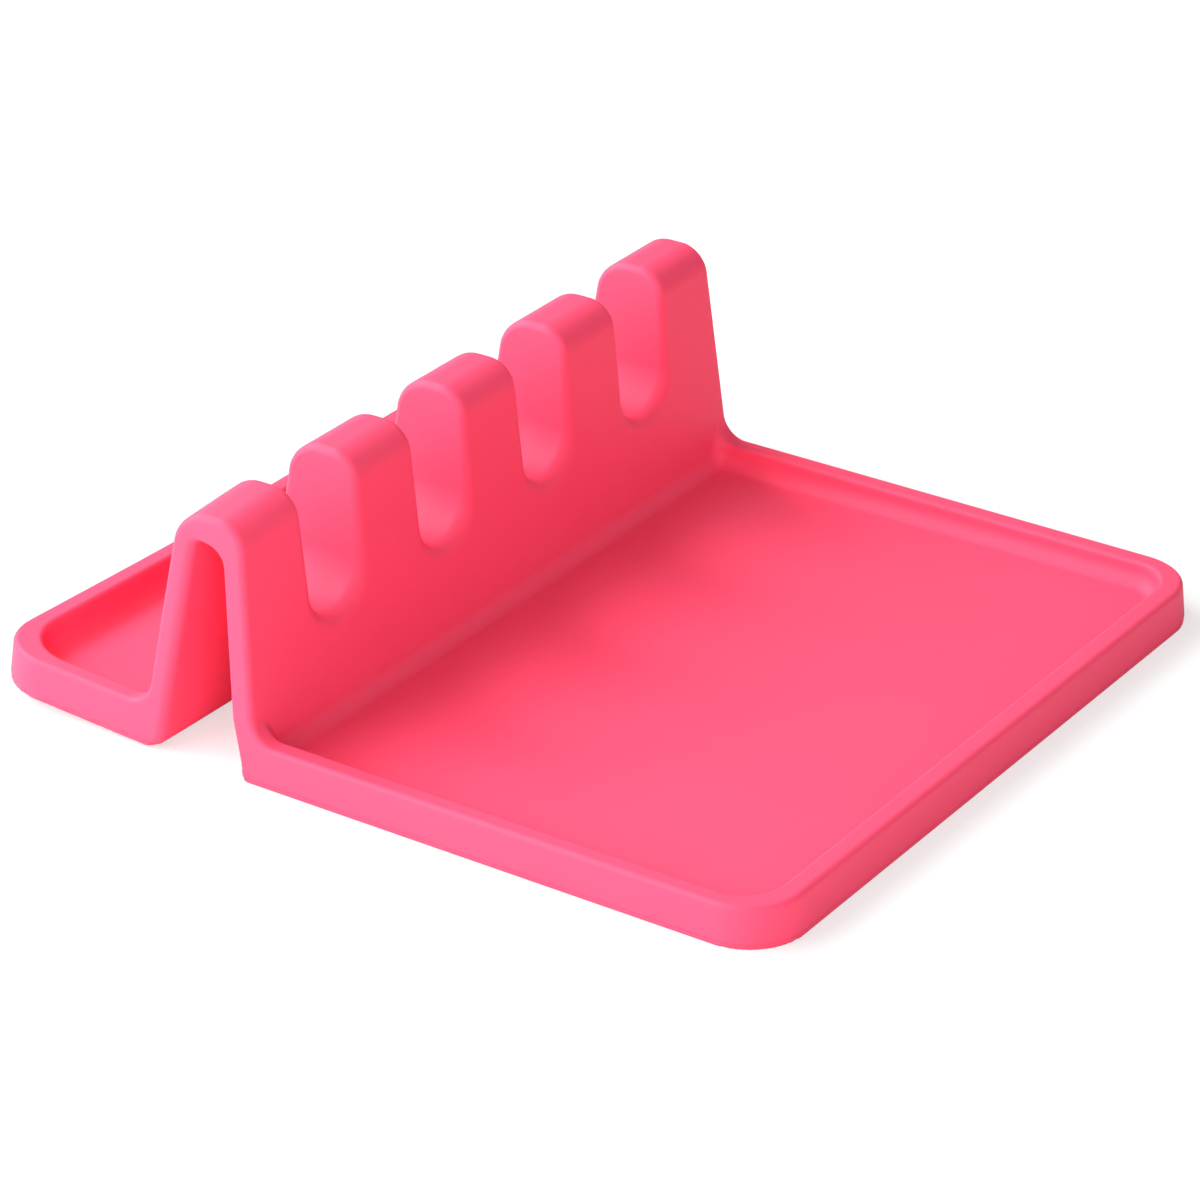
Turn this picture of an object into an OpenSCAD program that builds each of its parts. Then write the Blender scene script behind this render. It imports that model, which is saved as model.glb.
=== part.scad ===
// Spoon rest: one soft silicone moulding with a wide drip tray in front, a hollow
// notched ridge that holds up to four utensil handles, and a narrow tray behind.
// X runs along the ridge, the drip tray faces -Y and +Z is up.
// The origin is the centre of the footprint, on the table.

/* [Footprint] */
// Overall width along the ridge, at the table
base_w = 160; // [120:1:220]
// Depth of the drip tray, from its front edge to the foot of the ridge
drip_d = 110.4; // [60:0.1:160]
// Depth of the back tray, from the foot of the ridge to its rear edge
back_d = 38.5; // [28:0.1:70]
// Plan radius of the footprint's four corners
corner_r = 13; // [9:0.5:18]
// Lean of every outer side, in degrees
side_draft = 5; // [2:0.5:7]

/* [Trays] */
// Height of the rim round both trays
rim_h = 8.2; // [7:0.1:12]
// Width of the side and rear rims, across their flat tops
rim_w = 4; // [3:0.1:5]
// Width of the front rim, across its flat top
front_rim_w = 5; // [3:0.1:7]
// Radius of the rim's outer top edge
rim_round = 1.2; // [0.6:0.1:1.6]
// Thickness of the drip tray's floor
drip_floor_t = 3.6; // [2:0.1:5]
// Thickness of the back tray's floor
back_floor_t = 2.4; // [1.8:0.1:5]
// Lean of the rim's inner side, in degrees
recess_draft = 7; // [3:0.5:12]
// Radius where a tray's floor meets its rim
floor_round = 1.2; // [0.8:0.1:1.9]

/* [Ridge] */
// Depth of the ridge at the table, from foot to foot
ridge_d = 27.1; // [26:0.1:40]
// Height of the crest above the table
crest_h = 50.5; // [44:0.5:60]
// Lean of the ridge's front wall, in degrees
front_lean = 4.8; // [3:0.1:7]
// Lean of the ridge's rear wall, in degrees
rear_lean = 9.3; // [5:0.1:10]
// Thickness of the ridge's two walls
ridge_wall = 4.7; // [3.5:0.1:6]
// Thickness of the ridge at its crest, above the hollow
crest_wall = 5.6; // [3.5:0.1:7]
// Radius of the crest's two shoulders
shoulder_r = 5.6; // [3:0.1:6]
// Radius where the ridge's walls meet the rims
foot_round = 4.6; // [3:0.1:5.5]
// Width that the hollow gains at the foot of the front wall
foot_flare = 1.9; // [0:0.1:2]
// Height over which the hollow widens at the front wall
foot_flare_h = 12; // [6:1:16]

/* [Notches] */
// Number of notches along the ridge
notch_count = 4; // [2:1:4]
// Distance from notch to notch
notch_pitch = 34; // [28:0.5:34]
// Width of a notch at the crest
notch_w = 16.2; // [12:0.2:17]
// Depth of a notch below the crest
notch_depth = 27.5; // [20:0.5:28]
// Lean of a notch's sides, in degrees
notch_draft = 1.5; // [0:0.5:3]
// Thickness of the skin that lines a notch
notch_wall = 4; // [3:0.1:5]

/* [Hidden] */
$fn = 72;

// Segments in each rounded stretch of an outline
arc_steps = 8;
// How far a cut runs past the surface that it opens
overrun = 2;
// How far the ridge's feet run out into the trays, past the foot radius
foot_reach = foot_round + rim_w / 2;

half_w = base_w / 2;
total_d = drip_d + ridge_d + back_d;
front_y = -total_d / 2;
rear_y = total_d / 2;
ridge_front_y = front_y + drip_d;
ridge_rear_y = ridge_front_y + ridge_d;
front_joint_y = ridge_front_y - foot_reach;
rear_joint_y = ridge_rear_y + foot_reach;
notch_floor_h = crest_h - notch_depth;

// Shares of the hollow's width at its top that round its front and rear corners
front_hollow_share = 0.55;
rear_hollow_share = 0.22;

// Distance from the footprint's edge to a rim's inner top edge
rim_inset = rim_h * tan(side_draft) + rim_w;
front_rim_inset = rim_h * tan(side_draft) + front_rim_w;

function arc(centre, r, from, to) = [
    for (i = [0 : arc_steps])
        let (a = from + (to - from) * i / arc_steps)
            [centre[0] + r * cos(a), centre[1] + r * sin(a)]
];

function mirrored(points) = [
    for (i = [len(points) - 1 : -1 : 0])
        [-points[i][0], points[i][1]]
];

// Outer face of the ridge's walls at height z
function front_wall_y(z) = ridge_front_y + z * tan(front_lean);
function rear_wall_y(z) = ridge_rear_y - z * tan(rear_lean);

// Right side of a rim, from the footprint's edge up to its rounded top edge
function rim_edge(edge) =
    let (
        centre_z = rim_h - rim_round,
        centre_x = edge - centre_z * tan(side_draft) - rim_round / cos(side_draft)
    )
    concat([[edge, 0]], arc([centre_x, centre_z], rim_round, side_draft, 90));

// Right side of a recess, from its rounded floor edge up past the rim
function recess_edge(edge, floor_t, rise) =
    let (
        tangent_z = floor_t + floor_round * (1 - sin(recess_draft)),
        centre_x = edge - (rim_h - tangent_z) * tan(recess_draft) - floor_round * cos(recess_draft)
    )
    concat(
        arc([centre_x, floor_t + floor_round], floor_round, -90, -recess_draft),
        [[edge + rise * tan(recess_draft), rim_h + rise]]
    );

// Fillet between a level at height z0 and the front wall
function front_foot(z0, r) =
    arc([front_wall_y(z0 + r) - r / cos(front_lean), z0 + r], r, -90, -front_lean);

// Fillet between the rear wall and a level at height z0
function rear_foot(z0, r) =
    arc([rear_wall_y(z0 + r) + r / cos(rear_lean), z0 + r], r, 180 + rear_lean, 270);

// Extrudes an outline drawn in Y and Z along X, centred
module along_x(w) {
    rotate([90, 0, 90])
        linear_extrude(w, center = true)
            children();
}

// Extrudes an outline drawn in X and Z along Y, between two stations
module along_y(y0, y1) {
    translate([0, y1, 0])
        rotate([90, 0, 0])
            linear_extrude(y1 - y0)
                children();
}

// Drafted plate of a tray that ends at y = 0, with rounded corners at y = -d
module plate(d) {
    along_y(corner_r - d, 0)
        polygon(concat(rim_edge(half_w), mirrored(rim_edge(half_w))));
    along_x(base_w - 2 * corner_r)
        polygon(concat([[0, 0], [0, rim_h]], mirrored(rim_edge(d))));
    for (side = [-1, 1])
        translate([side * (half_w - corner_r), corner_r - d, 0])
            rotate_extrude()
                polygon(concat([[0, 0]], rim_edge(corner_r), [[0, rim_h]]));
}

// Recess of the same tray down to its floor, set back by an inset at its end
module recess(d, inset, floor_t) {
    inner_r = corner_r - rim_inset;
    sides = recess_edge(half_w - rim_inset, floor_t, overrun);
    along_y(inset + inner_r - d, overrun)
        polygon(concat(sides, mirrored(sides)));
    front = mirrored(recess_edge(d - inset, floor_t, overrun));
    along_x(base_w - 2 * corner_r)
        polygon(concat([[overrun, floor_t], [overrun, rim_h + overrun]], front));
    for (side = [-1, 1])
        translate([side * (half_w - corner_r), inset + inner_r - d, 0])
            rotate_extrude()
                polygon(concat(
                    [[0, floor_t]],
                    recess_edge(inner_r, floor_t, overrun),
                    [[0, rim_h + overrun]]
                ));
}

// Outline of the ridge and its feet, in Y and Z
module ridge_outline() {
    shoulder_z = crest_h - shoulder_r;
    front_shoulder = [front_wall_y(shoulder_z) + shoulder_r / cos(front_lean), shoulder_z];
    rear_shoulder = [rear_wall_y(shoulder_z) - shoulder_r / cos(rear_lean), shoulder_z];
    polygon(concat(
        [[front_joint_y, 0], [front_joint_y, rim_h]],
        front_foot(rim_h, foot_round),
        arc(front_shoulder, shoulder_r, 180 - front_lean, 90),
        arc(rear_shoulder, shoulder_r, 90, rear_lean),
        rear_foot(rim_h, foot_round),
        [[rear_joint_y, rim_h], [rear_joint_y, 0]]
    ));
}

// Outline of the hollow under the ridge, in Y and Z
module hollow_outline() {
    top_z = crest_h - crest_wall;
    front_gap = ridge_wall / cos(front_lean);
    rear_gap = ridge_wall / cos(rear_lean);
    top_w = rear_wall_y(top_z) - rear_gap - front_wall_y(top_z) - front_gap;
    front_r = top_w * front_hollow_share;
    rear_r = top_w * rear_hollow_share;
    polygon(concat(
        [
            [front_wall_y(0) + front_gap - foot_flare, -overrun],
            [front_wall_y(0) + front_gap - foot_flare, 0],
            [front_wall_y(foot_flare_h) + front_gap, foot_flare_h]
        ],
        arc(
            [front_wall_y(top_z - front_r) + front_gap + front_r / cos(front_lean), top_z - front_r],
            front_r, 180 - front_lean, 90
        ),
        arc(
            [rear_wall_y(top_z - rear_r) - rear_gap - rear_r / cos(rear_lean), top_z - rear_r],
            rear_r, 90, rear_lean
        ),
        [[rear_wall_y(0) - rear_gap, 0], [rear_wall_y(0) - rear_gap, -overrun]]
    ));
}

// Outline of a notch in X and Z, with a full round floor, grown by a margin
module notch_outline(grow) {
    r = (notch_w / 2 * cos(notch_draft) - notch_depth * sin(notch_draft)) / (1 - sin(notch_draft));
    top_w = notch_w / 2 + grow / cos(notch_draft) + overrun * tan(notch_draft);
    polygon(concat(
        [[-top_w, crest_h + overrun]],
        arc([0, notch_floor_h + r], r + grow, 180 + notch_draft, 360 - notch_draft),
        [[top_w, crest_h + overrun]]
    ));
}

// The row of notches through the whole ridge, grown by a margin
module notch_row(grow) {
    for (i = [0 : notch_count - 1])
        translate([(i - (notch_count - 1) / 2) * notch_pitch, 0, 0])
            along_y(ridge_front_y - overrun, ridge_rear_y + overrun)
                notch_outline(grow);
}

// Part of a tray's recess that reaches the front wall of the ridge
module front_recess_end() {
    foot = front_foot(rim_h, foot_round);
    top_z = foot[arc_steps][1];
    sides = recess_edge(half_w - rim_inset, drip_floor_t, top_z - rim_h);
    intersection() {
        along_x(base_w)
            polygon(concat(
                [[front_joint_y - overrun, drip_floor_t]],
                front_foot(drip_floor_t, floor_round),
                [foot[arc_steps], [front_joint_y - overrun, top_z]]
            ));
        along_y(front_joint_y - overrun, ridge_rear_y)
            polygon(concat(sides, mirrored(sides)));
    }
}

// Part of a tray's recess that reaches the rear wall of the ridge
module rear_recess_end() {
    foot = rear_foot(rim_h, foot_round);
    top_z = foot[0][1];
    sides = recess_edge(half_w - rim_inset, back_floor_t, top_z - rim_h);
    intersection() {
        along_x(base_w)
            polygon(concat(
                [[rear_joint_y + overrun, top_z], foot[0]],
                rear_foot(back_floor_t, floor_round),
                [[rear_joint_y + overrun, back_floor_t]]
            ));
        along_y(ridge_front_y, rear_joint_y + overrun)
            polygon(concat(sides, mirrored(sides)));
    }
}

module drip_tray() {
    tray_d = front_joint_y - front_y;
    color("#ff6484")
        translate([0, front_joint_y, 0])
            difference() {
                plate(tray_d);
                recess(tray_d, front_rim_inset, drip_floor_t);
            }
}

module notched_ridge() {
    crest_half_w = half_w - crest_h * tan(side_draft);
    color("#ff3a62")
        difference() {
            intersection() {
                along_x(base_w)
                    ridge_outline();
                along_y(front_y, rear_y)
                    polygon([
                        [-half_w, 0],
                        [half_w, 0],
                        [crest_half_w, crest_h],
                        [-crest_half_w, crest_h]
                    ]);
            }
            difference() {
                along_x(base_w + 2 * overrun)
                    hollow_outline();
                notch_row(notch_wall);
            }
            notch_row(0);
            front_recess_end();
            rear_recess_end();
        }
}

module back_tray() {
    tray_d = rear_y - rear_joint_y;
    color("#ff7898")
        translate([0, rear_joint_y, 0])
            rotate([0, 0, 180])
                difference() {
                    plate(tray_d);
                    recess(tray_d, rim_inset, back_floor_t);
                }
}

drip_tray();
notched_ridge();
back_tray();
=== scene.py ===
"""Spoon rest in coral silicone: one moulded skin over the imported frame, on a pale studio floor.

The skin is a signed distance field of the moulding (trays, rims, hollow ridge, lined notches) with
every fillet worked into it. A surface net turns the field into quads, and each vertex is then set on it.
"""

import math

import bmesh
import bpy
import numpy as np
from mathutils import Matrix, Vector


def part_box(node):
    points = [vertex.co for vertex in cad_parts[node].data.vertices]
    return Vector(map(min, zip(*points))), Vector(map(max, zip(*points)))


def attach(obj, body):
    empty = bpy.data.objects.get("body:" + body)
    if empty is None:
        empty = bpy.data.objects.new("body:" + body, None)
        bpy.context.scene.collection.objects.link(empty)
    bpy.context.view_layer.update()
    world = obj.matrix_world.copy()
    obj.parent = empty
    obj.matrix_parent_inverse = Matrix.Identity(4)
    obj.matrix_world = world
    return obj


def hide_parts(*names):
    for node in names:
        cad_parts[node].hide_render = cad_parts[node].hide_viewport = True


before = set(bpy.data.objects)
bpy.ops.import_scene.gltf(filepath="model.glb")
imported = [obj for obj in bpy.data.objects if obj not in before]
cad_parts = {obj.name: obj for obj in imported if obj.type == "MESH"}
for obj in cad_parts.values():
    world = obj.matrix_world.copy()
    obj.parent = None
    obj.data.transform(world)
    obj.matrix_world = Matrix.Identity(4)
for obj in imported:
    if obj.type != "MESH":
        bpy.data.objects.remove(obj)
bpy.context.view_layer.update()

MM = 0.001

# Sizes that the frame gives
TRAY_LO, TRAY_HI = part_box("drip_tray")
RIDGE_LO, RIDGE_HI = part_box("notched_ridge")
BACK_LO, BACK_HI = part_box("back_tray")
HALF_W = TRAY_HI[0]
FRONT_Y = TRAY_LO[1]
REAR_Y = BACK_HI[1]
RIM_H = TRAY_HI[2]
CREST_H = RIDGE_HI[2]
FRONT_JOINT_Y = RIDGE_LO[1]
REAR_JOINT_Y = RIDGE_HI[1]

# Trays
SIDE_DRAFT = math.radians(5)
RECESS_DRAFT = math.radians(7)
CORNER_R = 13 * MM
NEAR_CORNER_SHARPER = 1.1 * MM
BACK_RECESS_ROUNDER = 3.4 * MM
RIM_W = 4 * MM
FRONT_RIM_W = 4.6 * MM
RIM_ROUND = 0.9 * MM
FRONT_ROLL = 0.2 * MM
FRONT_RIM_ROUND = 1.0 * MM
RIM_INNER_ROUND = 0.8 * MM
DRIP_FLOOR_T = 3.6 * MM
BACK_FLOOR_T = 2.4 * MM
FLOOR_ROUND = 2.8 * MM
ROLL_SHARES = (0.7, 0.1)
PARTING_H = 1.0 * MM
PARTING_STEP = 0.14 * MM
PARTING_BLEND = 0.1 * MM
CORNER_BLEND = 20 * MM

# Ridge
RIDGE_FRONT_Y = 22.4 * MM
RIDGE_REAR_Y = 49.5 * MM
FRONT_LEAN = math.radians(4.8)
REAR_LEAN = math.radians(9.3)
RIDGE_WALL = 4.7 * MM
CREST_WALL = 5.6 * MM
FRONT_SHOULDER_R = 5.4 * MM
REAR_SHOULDER_R = 6.4 * MM
FOOT_ROUND = 4.6 * MM
LANDING_INSET = (-2 * MM, 1 * MM)
LANDING_DROP = 3 * MM
END_ROUND = 1.3 * MM
FAR_END_SHARPER = 0.3 * MM
HOLLOW_FRONT_R = 3.6 * MM
HOLLOW_REAR_R = 1.4 * MM
FRONT_LEG_EDGE_ROUND = 0.9 * MM
REAR_LEG_EDGE_ROUND = 1.9 * MM
FOOT_FLARE = 1.9 * MM
FOOT_FLARE_H = 12 * MM
FRONT_FOOT_EDGE_ROUND = 0.7 * MM
REAR_FOOT_EDGE_ROUND = 2.8 * MM
FOOT_BLEND = 10 * MM
BASE_ROUND = 0.25 * MM
BASE_EDGE_Z = (4 * MM, 1 * MM)
BASE_EDGE_INSET = (1.5 * MM, 3.5 * MM)
FRONT_EDGE_WIDER = 9 * MM

# Notches
NOTCH_PITCH = 34 * MM
NOTCH_XS = [NOTCH_PITCH * (i - 1.5) for i in range(4)]
NOTCH_W = 16.2 * MM
NOTCH_DEPTH = 27.5 * MM
NOTCH_DRAFT = math.radians(1.5)
NOTCH_WALL = 4 * MM
NOTCH_EDGE_ROUND = 1.45 * MM
NOTCH_LIP_ROUND = 2.9 * MM
NOTCH_LIP_H = 8 * MM
NOTCH_INNER_ROUND = 1.5 * MM

# Flex of the soft left end, where the corner behind the ridge curls up
CORNER_LIFT = 3.0 * MM
LIFT_START_X = -15 * MM
LIFT_RUN_X = 65 * MM
LIFT_START_Y = 41.8 * MM
LIFT_EASE = 0.08
LIFT_POWER = 1.3
LIFT_FADE_Z = (8 * MM, 40 * MM)
TILT_BEFORE_REAR = 4 * MM
TILT_PAST_REAR = 12 * MM
END_BEND = 1.1 * MM
BEND_START_X = -30 * MM
BEND_RUN_X = 50 * MM
BEND_FRONT_Y = (5 * MM, 22 * MM)
BEND_REAR_Y = (78 * MM, 52 * MM)
BEND_FULL_Z = 40 * MM
CREST_DIP = 1.7 * MM
DIP_START_X = -57 * MM
DIP_RUN_X = 20 * MM
DIP_POWER = 1.3
CREST_RISE = 0.3 * MM
RISE_X = (34 * MM, -34 * MM)
FAR_END_X = (60 * MM, 74 * MM)
FAR_END_OUT = 0.15 * MM
FAR_END_OUT_RISE = 4 * MM

# Mesh of the skin
NET_ROUNDS = 4
SLOPE_STEP = 0.02 * MM
LEAST_SLOPE = 0.25
CUT_MERGE = 1e-7

# Silicone
CORAL_DEEP = (0.98, 0.072, 0.158, 1)
CORAL_PALE = (0.99, 0.079, 0.167, 1)
MOTTLE_SCALE = 60.0
GRAIN_SCALE = 2200.0
GRAIN_HEIGHT = 0.1 * MM
SILICONE_IOR = 1.41

# Studio and camera
AIM = (0, 0, 0.02)
FLOOR_REACH = 6.0
WORLD_LEVEL = 0.36
CAMERA_AZIMUTH = math.radians(-55.860)
CAMERA_ELEVATION = math.radians(27.351)
CAMERA_ROLL = math.radians(-0.0763)
CAMERA_PLACE = (-0.692326, -0.468317, 0.442967)
CAMERA_LENS = 147.75
CAMERA_SENSOR = 36
CAMERA_NEAR = 0.01


def smooth_step(low, high, value):
    """0 at low, 1 at high, with a smooth ramp between."""
    t = np.clip((value - low) / (high - low), 0, 1)
    return t * t * (3 - 2 * t)


def round_cut(a, b, r):
    """Both fields hold: their common body, with its edge rounded to radius r."""
    corner = np.hypot(np.maximum(a + r, 0), np.maximum(b + r, 0))
    return np.minimum(-r, np.maximum(a, b)) + corner


def round_join(a, b, r):
    """Either field holds: both bodies, with the corner between them filled to radius r."""
    return -round_cut(-a, -b, r)


def plan_edge(x, y, r):
    """Distance outside the footprint with its corners rounded to radius r."""
    dx = np.abs(x) - HALF_W + r
    dy = np.abs(y - (FRONT_Y + REAR_Y) / 2) - (REAR_Y - FRONT_Y) / 2 + r
    return np.hypot(np.maximum(dx, 0), np.maximum(dy, 0)) + np.minimum(np.maximum(dx, dy), 0) - r


def walls(y, z, inset):
    """Distances outside the ridge's front and rear wall faces, both moved inward by inset."""
    front = (RIDGE_FRONT_Y + z * math.tan(FRONT_LEAN) - y) * math.cos(FRONT_LEAN) + inset
    rear = (y - RIDGE_REAR_Y + z * math.tan(REAR_LEAN)) * math.cos(REAR_LEAN) + inset
    return front, rear


def arch(y, z):
    """The ridge's outer profile, endless along X."""
    front, rear = walls(y, z, 0)
    return round_cut(round_cut(front, z - CREST_H, FRONT_SHOULDER_R), rear, REAR_SHOULDER_R)


def hollow(y, z):
    """The profile of the space under the ridge."""
    front, rear = walls(y, z, RIDGE_WALL)
    front = front - FOOT_FLARE * np.clip(1 - z / FOOT_FLARE_H, 0, 1)
    top = z - CREST_H + CREST_WALL
    return round_cut(round_cut(front, top, HOLLOW_FRONT_R), rear, HOLLOW_REAR_R)


def notch_row(x, z):
    """Distance outside the nearest notch's round-floored outline."""
    sine, cosine = math.sin(NOTCH_DRAFT), math.cos(NOTCH_DRAFT)
    r = (NOTCH_W / 2 * cosine - NOTCH_DEPTH * sine) / (1 - sine)
    dx = np.min([np.abs(x - notch_x) for notch_x in NOTCH_XS], axis=0)
    dz = z - CREST_H + NOTCH_DEPTH - r
    side = dx * cosine - dz * sine - r
    bowl = np.hypot(dx, dz) - r
    return np.where(dz * cosine + dx * sine > 0, side, bowl)


def unflex(x, y, z):
    """Where a point of the flexed moulding lies on the unbent one."""
    along = np.clip((LIFT_START_X - x) / LIFT_RUN_X, 0, 1) ** LIFT_POWER
    across = (y - LIFT_START_Y) / (REAR_Y - LIFT_START_Y)
    across = (across + np.hypot(across, LIFT_EASE)) / 2
    lift = CORNER_LIFT * along * across
    tilt = CORNER_LIFT * along / (REAR_Y - LIFT_START_Y)
    behind = smooth_step(RIDGE_REAR_Y - TILT_BEFORE_REAR, RIDGE_REAR_Y + TILT_PAST_REAR, y)
    end = np.clip((BEND_START_X - x) / BEND_RUN_X, 0, 1) ** 2
    ridge = smooth_step(*BEND_FRONT_Y, y) * smooth_step(*BEND_REAR_Y, y)
    bend = END_BEND * end * ridge * (0.5 + 0.5 * z / BEND_FULL_Z)
    dip = CREST_DIP * np.clip((DIP_START_X - x) / DIP_RUN_X, 0, 2) ** DIP_POWER
    dip = (dip - CREST_RISE * smooth_step(*RISE_X, x)) * np.clip(z / CREST_H, 0, 1) ** 2
    return x, y - bend + z * tilt * behind, z - lift * (1 - smooth_step(*LIFT_FADE_Z, z)) + dip


def moulding(x, y, z):
    """Signed distance to the whole moulding, below zero inside."""
    x, y, z = unflex(x, y, z)
    behind = smooth_step(RIDGE_FRONT_Y, RIDGE_REAR_Y, y)
    near_corner = smooth_step(0, -CORNER_BLEND, x) * smooth_step(0, -CORNER_BLEND, y)
    edge = plan_edge(x, y, CORNER_R - NEAR_CORNER_SHARPER * near_corner)
    recess_edge = plan_edge(x, y, CORNER_R + BACK_RECESS_ROUNDER * behind)
    front_rim = smooth_step(FRONT_Y + CORNER_R, FRONT_Y + CORNER_R / 3, y)
    corner = np.maximum(np.abs(x) - HALF_W + CORNER_R, 0) / CORNER_R
    front_roll = smooth_step(FRONT_Y + CORNER_R, FRONT_Y + CORNER_R / 2, y)
    front_roll = smooth_step(*ROLL_SHARES, corner) * front_roll
    step = PARTING_STEP * smooth_step(PARTING_H + PARTING_BLEND, PARTING_H - PARTING_BLEND, z)
    far_end = smooth_step(*FAR_END_X, x)
    out = FAR_END_OUT * far_end * smooth_step(RIM_H, RIM_H + FAR_END_OUT_RISE, z)
    roll = FRONT_ROLL * front_roll * np.clip(z / RIM_H, 0, 1) ** 3
    side = (edge + z * math.tan(SIDE_DRAFT) + roll + step - out) * math.cos(SIDE_DRAFT)

    rim_inset = RIM_H * math.tan(SIDE_DRAFT) + RIM_W + (FRONT_RIM_W - RIM_W) * front_rim
    rim = (-recess_edge - rim_inset - (RIM_H - z) * math.tan(RECESS_DRAFT)) * math.cos(RECESS_DRAFT)
    on_rim = smooth_step(*LANDING_INSET, recess_edge + rim_inset)
    on_rim = on_rim * smooth_step(RIM_H - LANDING_DROP, RIM_H, z)
    rim = round_cut(rim, z - RIM_H, RIM_INNER_ROUND)
    floor = z - (DRIP_FLOOR_T + (BACK_FLOOR_T - DRIP_FLOOR_T) * behind)
    trays = round_join(rim, floor, FLOOR_ROUND)

    body = round_join(trays, arch(y, z), FLOOR_ROUND + (FOOT_ROUND - FLOOR_ROUND) * on_rim)
    high = smooth_step(RIM_H, RIM_H + FOOT_ROUND, z)
    edge_round = RIM_ROUND + (FRONT_RIM_ROUND - RIM_ROUND) * front_roll
    edge_round = edge_round + (END_ROUND - FAR_END_SHARPER * far_end - RIM_ROUND) * high
    body = round_cut(body, side, edge_round)

    notches = notch_row(x, z)
    lip = smooth_step(CREST_H - NOTCH_DEPTH + NOTCH_LIP_H, CREST_H - NOTCH_DEPTH, z)
    body = round_cut(body, -notches, NOTCH_EDGE_ROUND + (NOTCH_LIP_ROUND - NOTCH_EDGE_ROUND) * lip)

    under = round_cut(hollow(y, z), NOTCH_WALL - notches, NOTCH_INNER_ROUND)
    rear_foot = smooth_step(RIDGE_FRONT_Y + FOOT_BLEND, RIDGE_REAR_Y - FOOT_BLEND, y)
    foot_round = FRONT_FOOT_EDGE_ROUND + (REAR_FOOT_EDGE_ROUND - FRONT_FOOT_EDGE_ROUND) * rear_foot
    leg_round = FRONT_LEG_EDGE_ROUND + (REAR_LEG_EDGE_ROUND - FRONT_LEG_EDGE_ROUND) * rear_foot
    base = round_cut(-z, -under, foot_round)
    outer = smooth_step(*BASE_EDGE_INSET, under + FRONT_EDGE_WIDER * (1 - rear_foot))
    outer = smooth_step(*BASE_EDGE_Z, z) * outer
    return round_cut(body, base, leg_round + (BASE_ROUND - leg_round) * outer)


def stations(start, *runs):
    """Grid lines from start, through runs of (end, step)."""
    lines = [start]
    for end, step in runs:
        count = max(1, round((end - lines[-1]) / step))
        lines.extend(np.linspace(lines[-1], end, count + 1)[1:])
    return np.array(lines)


def grid_lines():
    """Lines of the grid, close together where an edge or a fillet is."""
    fine, mid = 0.45 * MM, 0.9 * MM
    half = []
    for notch_x in NOTCH_XS[2:]:
        for side in (-1, 1):
            wall_x = notch_x + side * NOTCH_W / 2
            half.append((wall_x - 1.2 * MM, mid))
            half.append((wall_x + 1.2 * MM, fine))
    half.append((HALF_W - 8 * MM, 1.2 * MM))
    half.append((HALF_W + fine, fine))
    right = stations(0, *half)
    xs = np.concatenate([-right[:0:-1], right])
    ys = stations(
        FRONT_Y - fine,
        (FRONT_Y + 9 * MM, fine),
        (FRONT_Y + 16 * MM, 1.5 * MM),
        (RIDGE_FRONT_Y - 9 * MM, 4.5 * MM),
        (RIDGE_FRONT_Y - 5.5 * MM, mid),
        (RIDGE_FRONT_Y + 11 * MM, 0.5 * MM),
        (RIDGE_REAR_Y - 12 * MM, mid),
        (RIDGE_REAR_Y + 5.5 * MM, 0.6 * MM),
        (RIDGE_REAR_Y + 9 * MM, mid),
        (REAR_Y - 14 * MM, 3 * MM),
        (REAR_Y - 9 * MM, mid),
        (REAR_Y + fine, fine),
    )
    zs = stations(
        -0.3 * MM,
        (PARTING_H - 0.2 * MM, 0.3 * MM),
        (PARTING_H + 0.2 * MM, 0.1 * MM),
        (RIM_H + 1.2 * MM, 0.4 * MM),
        (RIM_H + FOOT_ROUND + 2 * MM, 0.8 * MM),
        (19 * MM, 1.3 * MM),
        (31 * MM, 0.7 * MM),
        (43 * MM, 1.3 * MM),
        (CREST_H + fine, 0.5 * MM),
    )
    return xs, ys, zs


def surface_net(field, lines):
    """Vertices and quads of the field's zero surface on a grid of uneven lines."""
    values = field(*np.meshgrid(*lines, indexing="ij"))
    cells = tuple(n - 1 for n in values.shape)
    total = np.zeros(cells + (3,))
    count = np.zeros(cells, int)
    crossings = []
    for axis in range(3):
        low = np.take(values, range(values.shape[axis] - 1), axis)
        high = np.take(values, range(1, values.shape[axis]), axis)
        at = np.argwhere((low < 0) != (high < 0))
        v0, v1 = low[tuple(at.T)], high[tuple(at.T)]
        point = np.stack([lines[a][at[:, a]] for a in range(3)], 1)
        step = lines[axis][at[:, axis] + 1] - lines[axis][at[:, axis]]
        point[:, axis] += step * v0 / (v0 - v1)
        others = [a for a in range(3) if a != axis]
        ring = []
        for shift in ((0, 0), (1, 0), (1, 1), (0, 1)):
            cell = at.copy()
            cell[:, others] -= shift
            ring.append(cell)
            np.add.at(total, tuple(cell.T), point)
            np.add.at(count, tuple(cell.T), 1)
        crossings.append((ring, (v0 < 0) != (axis == 1)))
    index = np.full(cells, -1)
    used = count > 0
    index[used] = np.arange(used.sum())
    quads = []
    for ring, outward in crossings:
        quad = np.stack([index[tuple(cell.T)] for cell in ring], 1)
        quad[~outward] = quad[~outward][:, ::-1]
        quads.append(quad)
    return total[used] / count[used][:, None], np.concatenate(quads)


def gradient(field, points):
    """Slope of the field at each point."""
    slope = np.empty_like(points)
    for axis in range(3):
        move = np.zeros(3)
        move[axis] = SLOPE_STEP
        slope[:, axis] = (field(*(points + move).T) - field(*(points - move).T)) / (2 * SLOPE_STEP)
    return slope


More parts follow.
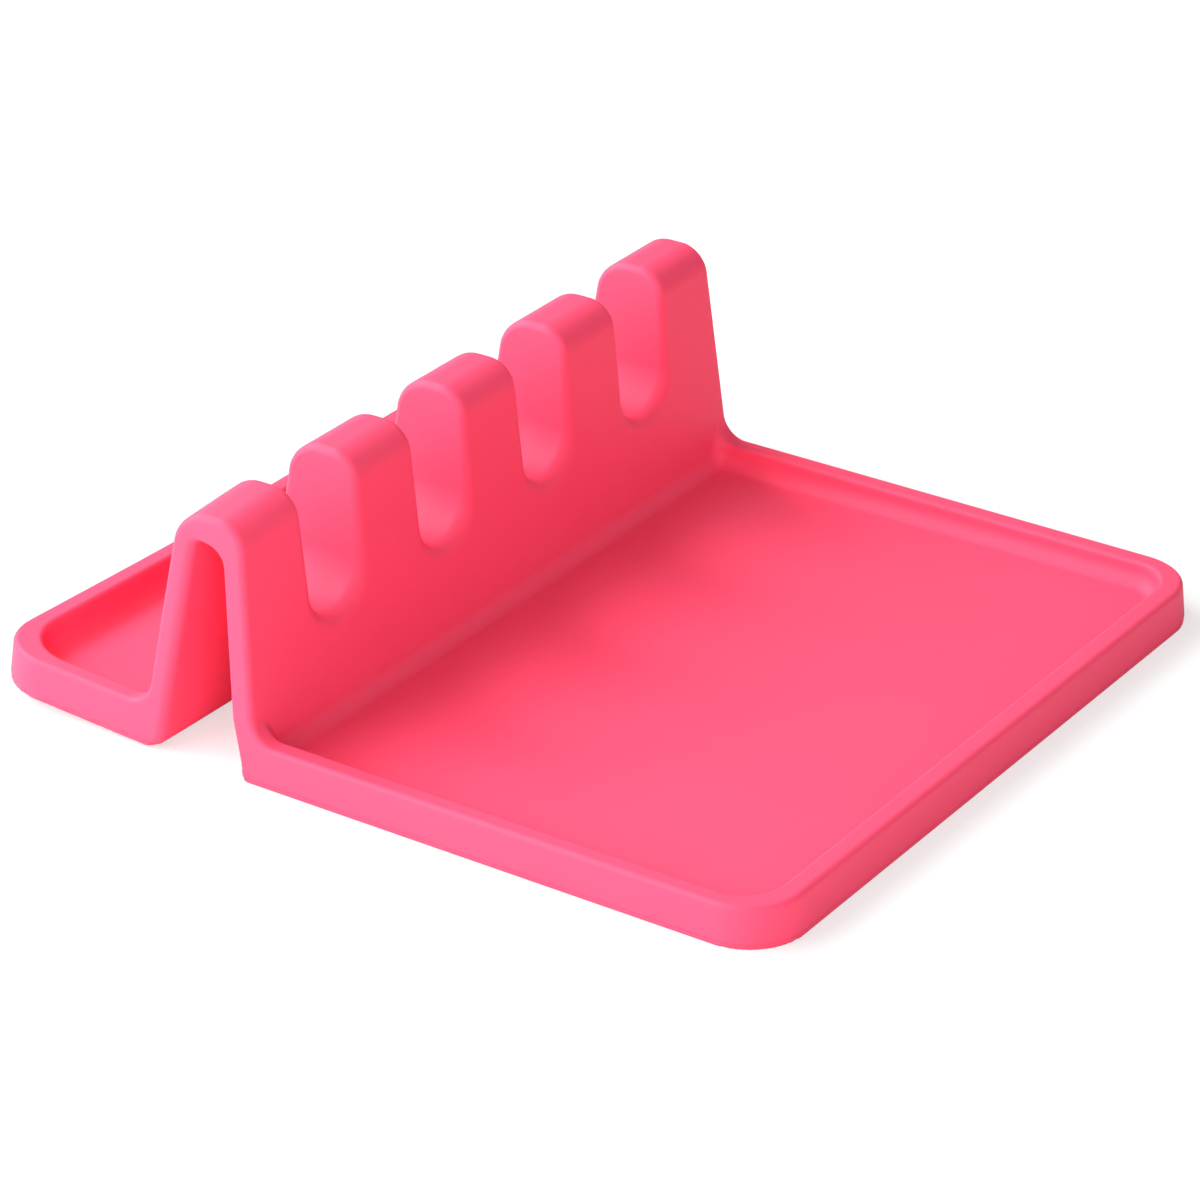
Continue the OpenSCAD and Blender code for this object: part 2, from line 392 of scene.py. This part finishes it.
def settle(field, verts, quads, rounds):
    """Evens out the net and sets each vertex on the surface."""
    pairs = np.concatenate([quads[:, [i, (i + 1) % 4]] for i in range(4)])
    degree = np.bincount(pairs.ravel(), minlength=len(verts))
    for turn in range(rounds):
        mean = np.empty_like(verts)
        for axis in range(3):
            ahead = np.bincount(pairs[:, 0], verts[pairs[:, 1], axis], len(verts))
            back = np.bincount(pairs[:, 1], verts[pairs[:, 0], axis], len(verts))
            mean[:, axis] = (ahead + back) / degree
        verts = (verts + mean) / 2
        for touch in range(2):
            slope = gradient(field, verts)
            size = np.maximum((slope ** 2).sum(1), LEAST_SLOPE)
            verts = verts - slope * (field(*verts.T) / size)[:, None]
    return verts


def surface_normals(points):
    """Unit normals of the moulding at points on it."""
    slope = gradient(moulding, points)
    return slope / np.maximum(np.linalg.norm(slope, axis=1), 1e-9)[:, None]


def skin_region(name, whole, cuts, material):
    """Part of the whole skin between cuts, with its cut faces closed. A cut is Y and the side that goes."""
    net = whole.copy()
    for cut_y, side in cuts:
        everything = net.verts[:] + net.edges[:] + net.faces[:]
        cut = bmesh.ops.bisect_plane(
            net,
            geom=everything,
            dist=CUT_MERGE,
            plane_co=(0, cut_y, 0),
            plane_no=(0, side, 0),
            clear_outer=True,
        )
        rim = [part for part in cut["geom_cut"] if isinstance(part, bmesh.types.BMEdge)]
        closed = bmesh.ops.edgeloop_fill(net, edges=rim)
        for face in closed["faces"]:
            face.smooth = False
            face.normal_update()
            if face.normal.y * side < 0:
                face.normal_flip()
    mesh = bpy.data.meshes.new(name)
    net.to_mesh(mesh)
    net.free()
    points = np.empty((len(mesh.vertices), 3))
    mesh.vertices.foreach_get("co", points.ravel())
    corners = np.empty(len(mesh.loops), int)
    mesh.loops.foreach_get("vertex_index", corners)
    normals = surface_normals(points)[corners]
    for face in mesh.polygons:
        if not face.use_smooth:
            normals[face.loop_start:face.loop_start + face.loop_total] = face.normal
    mesh.normals_split_custom_set(normals.tolist())
    mesh.materials.append(material)
    region = bpy.data.objects.new(name, mesh)
    bpy.context.scene.collection.objects.link(region)
    return region


def silicone_skins(material):
    """The moulding's skin, made in one and cut where the frame's regions meet."""
    verts, quads = surface_net(moulding, grid_lines())
    verts = settle(moulding, verts, quads, NET_ROUNDS)
    mesh = bpy.data.meshes.new("whole_skin")
    mesh.from_pydata(verts.tolist(), [], quads.tolist())
    mesh.shade_smooth()
    whole = bmesh.new()
    whole.from_mesh(mesh)
    bpy.data.meshes.remove(mesh)
    for node, cuts in (
        ("drip_tray", [(FRONT_JOINT_Y, 1)]),
        ("notched_ridge", [(FRONT_JOINT_Y, -1), (REAR_JOINT_Y, 1)]),
        ("back_tray", [(REAR_JOINT_Y, -1)]),
    ):
        region = skin_region(node + "_skin", whole, cuts, material)
        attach(region, "root")
        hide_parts(node)
        print(region.name, len(region.data.vertices), "vertices", len(region.data.polygons), "faces")
    whole.free()


class Socket:
    """A node's output, on which Python's operators add Math nodes."""

    def __init__(self, tree, link):
        self.tree, self.link = tree, link

    def math(self, operation, *values):
        return self.node("Math", {"operation": operation}, dict(enumerate(values)))

    def node(self, kind, settings, inputs, output=0):
        """One node of this tree with its settings and inputs. Gives one of its outputs."""
        made = self.tree.nodes.new("ShaderNode" + kind)
        for name, value in settings.items():
            setattr(made, name, value)
        for name, value in inputs.items():
            if isinstance(value, Socket):
                self.tree.links.new(value.link, made.inputs[name])
            else:
                made.inputs[name].default_value = value
        return Socket(self.tree, made.outputs[output]) if made.outputs else None

    def __add__(self, other):
        return self.math("ADD", self, other)

    def __mul__(self, other):
        return self.math("MULTIPLY", self, other)

    __radd__ = __add__
    __rmul__ = __mul__


def new_material(name):
    """An empty node material and the socket that its nodes start from."""
    material = bpy.data.materials.new(name)
    material.use_nodes = True
    material.node_tree.nodes.clear()
    return material, Socket(material.node_tree, None)


def coral_silicone():
    """Satin coral silicone with a faint mottle and moulded grain."""
    material, start = new_material("coral_silicone")
    place = start.node("TexCoord", {}, {}, "Object")
    mottle = start.node("TexNoise", {}, {"Vector": place, "Scale": MOTTLE_SCALE, "Detail": 3.0})
    grain = start.node("TexNoise", {}, {"Vector": place, "Scale": GRAIN_SCALE, "Detail": 2.0})
    colour = start.node("Mix", {"data_type": "RGBA"}, {
        "Factor": mottle,
        6: CORAL_DEEP,
        7: CORAL_PALE,
    }, 2)
    bump = start.node("Bump", {}, {"Strength": 0.12, "Distance": GRAIN_HEIGHT, "Height": grain})
    shader = start.node("BsdfPrincipled", {}, {
        "Base Color": colour,
        "Roughness": mottle * 0.06 + 0.5,
        "IOR": SILICONE_IOR,
        "Specular IOR Level": 0.25,
        "Normal": bump,
    })
    start.node("OutputMaterial", {}, {"Surface": shader})
    return material


def pale_floor():
    """A plain white floor that takes a soft shadow."""
    material, start = new_material("pale_floor")
    camera_ray = start.node("LightPath", {}, {}, "Is Camera Ray")
    colour = start.node("Mix", {"data_type": "RGBA"}, {
        "Factor": camera_ray,
        6: (0.8, 0.8, 0.8, 1),
        7: (1, 1, 1, 1),
    }, 2)
    matte = start.node("BsdfDiffuse", {}, {"Color": colour})
    white = start.node("Emission", {}, {"Color": (1, 1, 1, 1), "Strength": 1.0})
    shader = start.node("MixShader", {}, {0: camera_ray * 0.6, 1: matte, 2: white})
    start.node("OutputMaterial", {}, {"Surface": shader})
    mesh = bpy.data.meshes.new("pale_floor")
    signs = ((-1, -1), (1, -1), (1, 1), (-1, 1))
    corners = [(sx * FLOOR_REACH, sy * FLOOR_REACH, 0) for sx, sy in signs]
    mesh.from_pydata(corners, [], [(0, 1, 2, 3)])
    mesh.materials.append(material)
    floor = bpy.data.objects.new("pale_floor", mesh)
    bpy.context.scene.collection.objects.link(floor)


def softbox(name, place, size, power):
    """A square area light at place that faces the object."""
    lamp = bpy.data.lights.new(name, "AREA")
    lamp.size = size
    lamp.energy = power
    light = bpy.data.objects.new(name, lamp)
    light.location = place
    light.rotation_euler = (Vector(AIM) - Vector(place)).to_track_quat("-Z", "Y").to_euler()
    bpy.context.scene.collection.objects.link(light)


def white_world(level):
    """Even white light from all round, and a white background for the camera."""
    world = bpy.data.worlds.new("white_studio")
    world.use_nodes = True
    world.node_tree.nodes.clear()
    start = Socket(world.node_tree, None)
    camera_ray = start.node("LightPath", {}, {}, "Is Camera Ray")
    strength = camera_ray * (1 - level) + level
    shader = start.node("Background", {}, {"Color": (1, 1, 1, 1), "Strength": strength})
    start.node("OutputWorld", {}, {"Surface": shader})
    bpy.context.scene.world = world


def photo_camera():
    """The camera at the photograph's viewing angle."""
    azimuth, elevation, roll = CAMERA_AZIMUTH, CAMERA_ELEVATION, CAMERA_ROLL
    right = Vector((math.cos(azimuth), math.sin(azimuth), 0))
    back = Vector((
        math.sin(azimuth) * math.cos(elevation),
        -math.cos(azimuth) * math.cos(elevation),
        math.sin(elevation),
    ))
    up = back.cross(right)
    level_right, level_up = right, up
    right = level_right * math.cos(roll) + level_up * math.sin(roll)
    up = level_up * math.cos(roll) - level_right * math.sin(roll)
    lens = bpy.data.cameras.new("photo_camera")
    lens.sensor_width = CAMERA_SENSOR
    lens.lens = CAMERA_LENS
    lens.clip_start = CAMERA_NEAR
    camera = bpy.data.objects.new("photo_camera", lens)
    turn = Matrix((right, up, back)).transposed().to_4x4()
    camera.matrix_world = Matrix.Translation(CAMERA_PLACE) @ turn
    bpy.context.scene.collection.objects.link(camera)
    bpy.context.scene.camera = camera


silicone_skins(coral_silicone())

pale_floor()
white_world(WORLD_LEVEL)
softbox("key_softbox", (-0.497, 0.447, 0.36), 0.7, 7.2)
softbox("rear_softbox", (-0.07, 0.78, 0.78), 1.0, 9.6)
softbox("far_softbox", (0.175, 0.824, 0.727), 0.5, 4.5)
softbox("fill_softbox", (-0.62, -0.44, 0.25), 0.6, 3.1)

photo_camera()
bpy.context.scene.view_settings.view_transform = "Standard"
